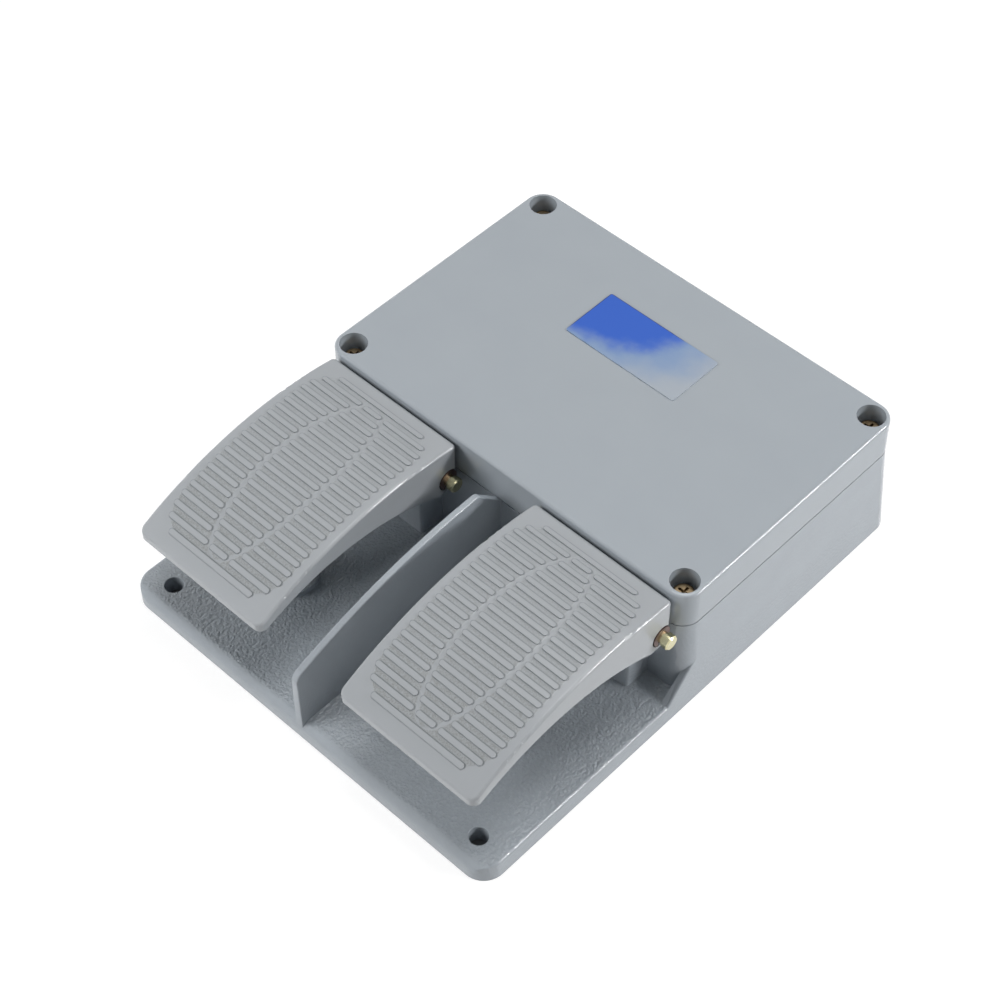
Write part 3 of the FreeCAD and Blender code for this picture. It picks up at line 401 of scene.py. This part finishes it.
class CastingSizes(bpy.types.PropertyGroup):
    colour: StringProperty(name="Colour", description="Enamel on the high spots of the casting",
                           default="#A3AAB1")
    # The valley colour is painted shade in the low spots of the cast skin.
    hollow_shade_colour: StringProperty(name="Valley colour", description="Enamel in the low spots of its skin",
                                  default="#9DA4AA")
    grain: FloatProperty(name="Grain (mm)", description="Width of one bump of the cast skin", default=1.4)
    relief: FloatProperty(name="Relief (mm)", description="Height of the cast skin's bumps", default=0.32)
    rib_share: FloatProperty(name="Rib share", description="How much of the relief the upper ribs show",
                             default=0.4)
    wall_share: FloatProperty(name="Wall share", description="How much of the relief the walls show",
                              default=0.25)
    roughness: FloatProperty(name="Roughness", description="Roughness of the enamel", default=0.14)


class CoverSizes(bpy.types.PropertyGroup):
    colour: StringProperty(name="Colour", description="Enamel of the cover", default="#A6ADB3")
    second_colour: StringProperty(name="Second colour", description="Enamel where it flowed thicker",
                                  default="#A1A8AF")
    peel: FloatProperty(name="Orange peel (mm)", description="Width of the enamel's waves", default=1.3)
    relief: FloatProperty(name="Relief (mm)", description="Height of the enamel's waves", default=0.02)
    roughness: FloatProperty(name="Roughness", description="Roughness of the enamel", default=0.14)


class PlateSizes(bpy.types.PropertyGroup):
    colour: StringProperty(name="Ink", description="Printed ink of the blank plate", default="#2459BC")
    rim_colour: StringProperty(name="Rim", description="Ink pooled along the plate's edge",
                               default="#28427F")
    rim: FloatProperty(name="Rim (mm)", description="Width of the pooled ink", default=0.35)
    haze_colour: StringProperty(name="Faded ink", description="Where the print is worn thin",
                                default="#7D95B8")
    bare_colour: StringProperty(name="Bare foil", description="Where the print is gone", default="#A3ABB4")
    ink_reach_x: FloatProperty(name="Ink across", description="Share of the width that kept its ink",
                               default=0.66)
    ink_reach_y: FloatProperty(name="Ink down", description="Share of the depth that kept its ink",
                               default=0.88)


class PedalSizes(bpy.types.PropertyGroup):
    colour: StringProperty(name="Colour", description="Enamel of the pedals", default="#A6AAAE")
    second_colour: StringProperty(name="Second colour", description="Enamel where it flowed thicker",
                                  default="#A3A7AB")
    # The grit colour is sand and painted shade between the bars.
    grit_and_shade_colour: StringProperty(name="Grit colour", description="Sandy ground between the bars",
                                default="#8F9190")
    # The line colour is dirt and painted shade at the foot of the bars.
    dirt_and_shade_colour: StringProperty(name="Line colour", description="Dirt at the foot of the bars",
                                default="#868B8D")
    grit: FloatProperty(name="Grit (mm)", description="Width of a grain of the sandy ground", default=0.6)
    grit_relief: FloatProperty(name="Grit relief (mm)", description="Height of the grains", default=0.12)
    line: FloatProperty(name="Line (mm)", description="Width of the dirt line round a bar", default=0.42)
    hidden_line: FloatProperty(name="Line behind (mm)", description="Width of the line behind a bar",
                               default=0.85)
    peel: FloatProperty(name="Orange peel (mm)", description="Width of the enamel's waves", default=1.4)
    relief: FloatProperty(name="Relief (mm)", description="Height of the enamel's waves", default=0.02)
    roughness: FloatProperty(name="Roughness", description="Roughness of the enamel", default=0.2)
    length: FloatProperty(name="Length (mm)", description="Pedal from front to rear", default=105.5)
    rows: IntProperty(name="Rows", description="Rows of tread bars", default=21)
    pitch: FloatProperty(name="Pitch (mm)", description="Distance from bar to bar", default=4.57)
    first_row: FloatProperty(name="First row (mm)", description="From the rear edge to the first bar",
                             default=7.4)
    bar: FloatProperty(name="Bar (mm)", description="Width of a tread bar", default=2.0)
    channel: FloatProperty(name="Channel (mm)", description="Width of the curved channels", default=2.0)
    half_width: FloatProperty(name="Half width (mm)", description="Tread from its middle to its side",
                              default=30.2)
    corner: FloatProperty(name="Corner (mm)", description="Radius of the tread's corners", default=13.0)
    corner_share: FloatProperty(name="Corner share", description="How full the tread's corners are",
                                default=0.8)
    lens_half_width: FloatProperty(name="Lens half width (mm)", description="Middle field, to its channel",
                                   default=13.6)
    lens_half_length: FloatProperty(name="Lens half length (mm)", description="Middle field, to its tip",
                                    default=45.0)


class SpringSizes(bpy.types.PropertyGroup):
    wire: FloatProperty(name="Wire (mm)", description="Radius of the wire", default=0.9)
    closed_lead: FloatProperty(name="Closed lead (mm)", description="Rise of an end turn", default=2.0)
    turns: IntProperty(name="Turns", description="Turns, with the closed one at each end", default=9)
    wire_sides: IntProperty(name="Wire sides", description="Sides of the wire", default=16)
    turn_steps: IntProperty(name="Steps", description="Steps in one turn", default=40)
    keep: FloatProperty(name="Keep", description="Share of its height with the pedal down", default=0.78)


class StageSizes(bpy.types.PropertyGroup):
    floor_colour: StringProperty(name="Floor", description="Colour of the studio floor", default="#F2F2F2")
    faint_colour: StringProperty(name="Shadow paper", description="Darker paper keeps a fainter shadow",
                                 default="#959595")
    # The shaded floor colour is painted shade on the floor under the base.
    shaded_colour: StringProperty(name="Shaded floor", description="Floor seen through the mounting holes",
                                  default="#6E6E6E")
    cover_inset: FloatProperty(name="Cover inset", description="From the base's side to the shaded floor",
                               default=0.004, unit="LENGTH")
    lamp_distance: FloatProperty(name="Lamp distance", description="From the object to each soft box",
                                 default=1.4, unit="LENGTH")
    top_power: FloatProperty(name="Top", description="Soft box overhead", default=8.5, unit="POWER")
    right_power: FloatProperty(name="Right", description="Soft box high at the right", default=1.0,
                               unit="POWER")
    edge_power: FloatProperty(name="Edge", description="Strip light low behind at the right", default=11.0,
                              unit="POWER")
    front_power: FloatProperty(name="Front", description="Low soft box in front at the left", default=13.0,
                               unit="POWER")
    glint_power: FloatProperty(name="Glint", description="Strip that only makes highlights", default=22.0,
                               unit="POWER")
    sky: FloatProperty(name="Sky", description="Light from all round", default=0.02)


class FootSwitchSizes(bpy.types.PropertyGroup):
    casting: PointerProperty(type=CastingSizes, name="Casting", description="Base casting")
    cover: PointerProperty(type=CoverSizes, name="Cover", description="Cover")
    plate: PointerProperty(type=PlateSizes, name="Plate", description="Blank nameplate")
    pedals: PointerProperty(type=PedalSizes, name="Pedals", description="Pedals")
    springs: PointerProperty(type=SpringSizes, name="Springs", description="Return springs")
    stage: PointerProperty(type=StageSizes, name="Stage", description="Studio and camera")


def dress(node, material, crease=40.0):
    """Gives a CAD node its material, smooth curved faces and crisp edges past the crease angle."""
    weld_mm, area_weight = 0.001, 90
    piece = NODES[node]
    for slot in piece.material_slots:
        slot.material = material
    piece.data.polygons.foreach_set("use_smooth", [True] * len(piece.data.polygons))
    piece.modifiers.new("weld", "WELD").merge_threshold = weld_mm * MM
    split = piece.modifiers.new("crease", "EDGE_SPLIT")
    split.split_angle = math.radians(crease)
    split.use_edge_sharp = False
    weighted = piece.modifiers.new("even", "WEIGHTED_NORMAL")
    weighted.mode = "FACE_AREA"
    weighted.weight = area_weight
    return piece


class DressCasting(bpy.types.Operator):
    """Enamel the base casting"""
    bl_idname = "foot_switch.casting"
    bl_label = "Base casting"

    def execute(self, context):
        dress("base_casting", leathery_enamel(context.scene.foot_switch.casting), crease=50.0)
        return {"FINISHED"}


class DressCover(bpy.types.Operator):
    """Enamel the cover and blacken its seal"""
    bl_idname = "foot_switch.cover"
    bl_label = "Cover and seal"

    def execute(self, context):
        dress("top_cover", satin_enamel(context.scene.foot_switch.cover), crease=50.0)
        # Nitrile rubber: a dull, near black cord, so the seam reads as a thin dark line.
        dress("cover_gasket", finish_moulding("moulded_nitrile_seal", "#26282A", roughness=0.75,
                                              grain_mm=0.4, relief_mm=0.03))
        return {"FINISHED"}


class DressNameplate(bpy.types.Operator):
    """Print the blank nameplate and wear it"""
    bl_idname = "foot_switch.nameplate"
    bl_label = "Nameplate"

    def execute(self, context):
        dress("nameplate", worn_print(context.scene.foot_switch.plate))
        return {"FINISHED"}


class DressPedals(bpy.types.Operator):
    """Enamel both pedals with their gritty treads"""
    bl_idname = "foot_switch.pedals"
    bl_label = "Pedals"

    def execute(self, context):
        enamel = trodden_enamel(context.scene.foot_switch.pedals)
        for side in SIDES:
            dress(f"{side}_pedal", enamel, crease=35.0)
        return {"FINISHED"}


class DressPivots(bpy.types.Operator):
    """Plate the pivot pins, their washers and clips, and line the hubs"""
    bl_idname = "foot_switch.pivots"
    bl_label = "Pivot pins, washers, clips and bushes"

    def execute(self, context):
        # Zinc passivated yellow: a pale straw with a drift to green, from the thin chromate film.
        zinc = finish_metal("yellow_passivated_zinc", "#DDDBB8", "#C3B88E", roughness=0.2, grain_mm=0.8,
                            wear=0.08)
        # Spring steel tempered brown: dull, with a violet cast where the heat went further.
        browned = finish_metal("browned_spring_steel", "#8A746C", "#5E4F50", roughness=0.38, grain_mm=0.4)
        # Blackened steel: near black and oily, and its dark also paints the shade in the recess round a
        # pin, so the recess reads as a dark ring.
        black = finish_metal("blackened_steel_and_recess_shade", "#2B2B2A", "#3A3733", roughness=0.5, grain_mm=0.3)
        # Sintered bronze: brown-gold and open-grained, too porous to shine.
        bronze = finish_metal("sintered_bronze", "#A9814F", "#8F6B3F", roughness=0.5, grain_mm=0.3)
        for side in SIDES:
            for name, metal in (("pivot_pin", zinc), ("pin_washers", black), ("pin_clips", browned)):
                dress(f"{side}_{name}", metal, crease=30.0)
            dress(f"{side}_pivot_bushes", bronze)
        return {"FINISHED"}


class WindSprings(bpy.types.Operator):
    """Wind the two return springs from round wire with closed ends"""
    bl_idname = "foot_switch.springs"
    bl_label = "Return springs"

    def execute(self, context):
        sizes = context.scene.foot_switch.springs
        # Clear zinc over drawn wire: bright grey, so each turn shows its own thin highlight.
        wire_metal = finish_metal("zinc_plated_spring_wire", "#B4B6B8", "#8F9193", roughness=0.32,
                                  grain_mm=0.3)
        for side in SIDES:
            low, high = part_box(f"{side}_return_spring")
            spring = self.wind(f"{side}_coil_spring", low, high, sizes)
            spring.data.materials.append(wire_metal)
            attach(spring, "root")
            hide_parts(f"{side}_return_spring")
            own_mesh(spring)
        return {"FINISHED"}

    @staticmethod
    def wind(name, low, high, sizes):
        wire = sizes.wire * MM
        middle = (low + high) / 2
        coil_r = (high.x - low.x) / 2 - wire
        closed = sizes.closed_lead * MM
        open_turns = sizes.turns - 2
        rise = high.z - low.z - 2 * wire - 2 * closed
        mesh = bmesh.new()
        start = Matrix.Translation((middle.x + coil_r, middle.y, low.z + wire)) @ Matrix.Rotation(
            math.pi / 2, 4, "X")
        bmesh.ops.create_circle(mesh, cap_ends=False, segments=sizes.wire_sides, radius=wire,
                                matrix=start)
        first = ring = mesh.edges[:]
        for turns, height in ((1, closed), (open_turns, rise), (1, closed)):
            steps = turns * sizes.turn_steps
            spun = bmesh.ops.spin(mesh, geom=ring, cent=middle, axis=(0, 0, 1),
                                  dvec=(0, 0, height / steps), angle=2 * math.pi * turns, steps=steps,
                                  use_merge=False, use_normal_flip=False, use_duplicate=False)
            ring = [found for found in spun["geom_last"] if isinstance(found, bmesh.types.BMEdge)]
        for end in (first, ring):
            bmesh.ops.contextual_create(mesh, geom=end)
        bmesh.ops.recalc_face_normals(mesh, faces=mesh.faces)
        data = bpy.data.meshes.new(name)
        mesh.to_mesh(data)
        mesh.free()
        data.polygons.foreach_set("use_smooth", [len(face.vertices) == 4 for face in data.polygons])
        spring = bpy.data.objects.new(name, data)
        bpy.context.scene.collection.objects.link(spring)
        return spring


class DressPlungers(bpy.types.Operator):
    """Grind the push rods, turn their guides and blacken the seals"""
    bl_idname = "foot_switch.plungers"
    bl_label = "Push rods, guides and seals"

    def execute(self, context):
        # Ground stainless steel: a cool, close-grained shine. Turned brass: warm, with soft tool marks.
        steel = finish_metal("ground_stainless_steel", "#C3C5C7", "#AEB1B4", roughness=0.22,
                             grain_mm=0.2, wear=0.1)
        brass = finish_metal("turned_brass", "#CBA75A", "#B8934A", roughness=0.3, grain_mm=0.3)
        # Nitrile rubber: near black and dull, with a dusty bloom.
        rubber = finish_moulding("moulded_nitrile_ring", "#202224", roughness=0.7, grain_mm=0.4,
                                 relief_mm=0.02)
        for side in SIDES:
            dress(f"{side}_plunger", steel)
            dress(f"{side}_guide_bush", brass)
            dress(f"{side}_plunger_seal", rubber)
        return {"FINISHED"}


class DressSwitches(bpy.types.Operator):
    """Finish the snap switches, their buttons, terminals, screws and plate"""
    bl_idname = "foot_switch.switches"
    bl_label = "Snap switches and their plate"

    def execute(self, context):
        # Phenolic: brown-black with a dense, slightly glossy skin. Acetal: an even, waxy red.
        phenolic = finish_moulding("moulded_phenolic", "#2B2726", roughness=0.42, grain_mm=0.5,
                                   relief_mm=0.02)
        acetal = finish_moulding("moulded_red_acetal", "#B3241C", roughness=0.3, grain_mm=0.6,
                                 relief_mm=0.01, fleck=0.95)
        # Stamped brass is duller than turned brass. Clear zinc plating: cool grey with a soft sheen.
        brass = finish_metal("stamped_brass", "#CDAE68", "#B99550", roughness=0.35, grain_mm=0.4)
        zinc = finish_metal("zinc_plated_steel", "#B9BDC0", "#A4A8AC", roughness=0.38, grain_mm=1.2)
        for side in SIDES:
            dress(f"{side}_switch_body", phenolic)
            dress(f"{side}_switch_button", acetal)
            dress(f"{side}_switch_terminals", brass)
        for node in ("switch_plate", "switch_screws"):
            dress(node, zinc)
        return {"FINISHED"}


class DressFasteners(bpy.types.Operator):
    """Plate the cover screws and the earth terminal"""
    bl_idname = "foot_switch.fasteners"
    bl_label = "Cover screws and earth terminal"

    def execute(self, context):
        # Yellow zinc on screws that have been turned: browner, with the film rubbed through in patches.
        dress("cover_screws", finish_metal("yellow_zinc_on_screws", "#A59274", "#64543F", roughness=0.32,
                                           grain_mm=0.5))
        # Bright brass: clear yellow with a sharp highlight on the clamp's edges.
        brass = finish_metal("bright_brass", "#D0AE62", "#BC984E", roughness=0.28, grain_mm=0.4)
        for node in ("earth_clamp", "earth_screw"):
            dress(node, brass)
        return {"FINISHED"}


class DressGland(bpy.types.Operator):
    """Finish the cable gland, its rubber ring, cap and lock nut"""
    bl_idname = "foot_switch.gland"
    bl_label = "Cable gland"

    def execute(self, context):
        # Black nylon: a soft half-gloss over a fine spark-eroded grain.
        nylon = finish_moulding("moulded_black_nylon", "#232426", roughness=0.5, grain_mm=0.7,
                                relief_mm=0.03)
        for node in ("gland_body", "gland_nut", "gland_locknut"):
            dress(node, nylon, crease=28.0)
        # Nitrile rubber again: duller than the nylon round it.
        dress("gland_seal", finish_moulding("moulded_nitrile_grommet", "#1D1E1F", roughness=0.75,
                                            grain_mm=0.4, relief_mm=0.03))
        return {"FINISHED"}


class Studio(bpy.types.Operator):
    """Set up the floor, the soft lights and the camera"""
    bl_idname = "foot_switch.stage"
    bl_label = "Stage"

    def execute(self, context):
        sizes = context.scene.foot_switch.stage
        self.lay_floor(context.scene, sizes)
        self.light_world(context.scene, sizes)
        self.hang_lamps(context.scene, sizes)
        self.add_camera(context.scene)
        context.scene.view_settings.view_transform = "Standard"
        return {"FINISHED"}

    @classmethod
    def lay_floor(cls, scene, sizes):
        half_side, drop = 4.0, 0.0002
        floor_mesh = bmesh.new()
        bmesh.ops.create_grid(floor_mesh, x_segments=1, y_segments=1, size=half_side,
                              matrix=Matrix.Translation((0, 0, -drop)))
        mesh = bpy.data.meshes.new("studio_floor")
        floor_mesh.to_mesh(mesh)
        floor_mesh.free()
        floor = bpy.data.objects.new("studio_floor", mesh)
        scene.collection.objects.link(floor)
        mesh.materials.append(cls.floor_material(sizes))

    @staticmethod
    def light_world(scene, sizes):
        """White behind the object and in its reflections, and a little light from all round."""
        world = scene.world or bpy.data.worlds.new("studio")
        scene.world = world
        world.use_nodes = True
        tree = world.node_tree
        tree.nodes.clear()
        strength = add_node(tree, "MapRange", {"Value": seen_by_eye(tree), "To Min": sizes.sky,
                                               "To Max": 1.0})
        backdrop = add_node(tree, "Background", {"Color": linear("#FFFFFF"), "Strength": strength})
        add_node(tree, "OutputWorld", {"Surface": backdrop})

    @staticmethod
    def hang_lamps(scene, sizes):
        """The front box makes no highlight. The glint strip makes highlights and nothing else."""
        # Azimuth is measured from the front towards the right, as seen from above.
        for name, azimuth, elevation, wide, high, power in (
                ("top_box", 180, 80, 0.8, 0.8, sizes.top_power),
                ("right_box", 90, 45, 0.8, 0.8, sizes.right_power),
                ("edge_strip", 122, 26, 0.7, 0.08, sizes.edge_power),
                ("glint_strip", 122, 26, 0.7, 0.08, sizes.glint_power),
                ("front_box", -38, 27, 0.8, 0.8, sizes.front_power)):
            lamp = bpy.data.lights.new(name, "AREA")
            lamp.energy, lamp.size, lamp.size_y, lamp.shape = power, wide, high, "RECTANGLE"
            holder = bpy.data.objects.new(name, lamp)
            outward = Matrix.Rotation(math.radians(azimuth), 3, "Z") @ Matrix.Rotation(
                -math.radians(elevation), 3, "X") @ Vector((0, -1, 0))
            holder.location = outward * sizes.lamp_distance
            holder.rotation_euler = (-outward).to_track_quat("-Z", "Y").to_euler()
            holder.visible_glossy = name != "front_box"
            holder.visible_diffuse = name != "glint_strip"
            scene.collection.objects.link(holder)

    @staticmethod
    def floor_material(sizes):
        """Matt white paper: it lights the object from below, keeps a faint shadow and reads as white.
        Under the object it is darker grey paper, painted shade, so the mounting holes look down on a dark
        floor."""
        glow_strength = 0.8
        material = bpy.data.materials.new("matt_white_paper")
        material.use_nodes = True
        tree = material.node_tree
        tree.nodes.clear()
        paper = add_node(tree, "BsdfDiffuse", {"Color": linear(sizes.floor_colour)})
        faint = add_node(tree, "BsdfDiffuse", {"Color": linear(sizes.faint_colour)})
        glow = add_node(tree, "Emission", {"Color": linear("#FFFFFF"), "Strength": glow_strength})
        white = add_node(tree, "AddShader", {0: faint, 1: glow})
        open_floor = add_node(tree, "MixShader", {0: seen_by_eye(tree), 1: paper, 2: white})
        axes = add_node(tree, "SeparateXYZ", {"Vector": add_node(tree, "TexCoord").outputs["Object"]})
        covered = inside_outline(tree, axes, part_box("base_casting"), sizes.cover_inset)
        # Painted shade: the floor under the base is a darker grey.
        shaded = add_node(tree, "BsdfDiffuse", {"Color": linear(sizes.shaded_colour)})
        surface = add_node(tree, "MixShader", {0: covered, 1: open_floor, 2: shaded})
        add_node(tree, "OutputMaterial", {"Surface": surface})
        return material

    @staticmethod
    def add_camera(scene):
        """An 81 mm lens at the photograph's place, solved from the box's corners and its cover screws."""
        place, target = Vector((0.3864, -0.4242, 0.7181)), Vector((-0.0139, -0.0025, 0.0194))
        lens_mm, sensor_mm = 80.87, 36.0
        near, far = 0.05, 20.0
        camera = bpy.data.objects.new("camera", bpy.data.cameras.new("camera"))
        scene.collection.objects.link(camera)
        camera.data.lens, camera.data.sensor_width = lens_mm, sensor_mm
        camera.data.clip_start, camera.data.clip_end = near, far
        camera.location = place
        camera.rotation_euler = (target - place).to_track_quat("-Z", "Y").to_euler()
        scene.camera = camera


class SwitchPanel(bpy.types.Panel):
    bl_idname = "VIEW3D_PT_foot_switch"
    bl_label = "Foot switch"
    bl_space_type = "VIEW_3D"
    bl_region_type = "UI"
    bl_category = "Foot switch"

    def draw(self, context):
        for operator in OPERATORS:
            self.layout.operator(operator.bl_idname)


OPERATORS = (DressCasting, DressCover, DressFasteners, DressNameplate, DressPedals, DressPivots,
             WindSprings, DressPlungers, DressSwitches, DressGland, Studio)
GROUPS = (CastingSizes, CoverSizes, PlateSizes, PedalSizes, SpringSizes, StageSizes, FootSwitchSizes)


def register():
    for group in GROUPS + OPERATORS + (SwitchPanel,):
        bpy.utils.register_class(group)
    bpy.types.Scene.foot_switch = PointerProperty(type=FootSwitchSizes)


def unregister():
    del bpy.types.Scene.foot_switch
    for group in reversed(GROUPS + OPERATORS + (SwitchPanel,)):
        bpy.utils.unregister_class(group)


def main():
    register()
    for operator in OPERATORS:
        group, name = operator.bl_idname.split(".")
        getattr(getattr(bpy.ops, group), name)()


if __name__ == "__main__":
    main()
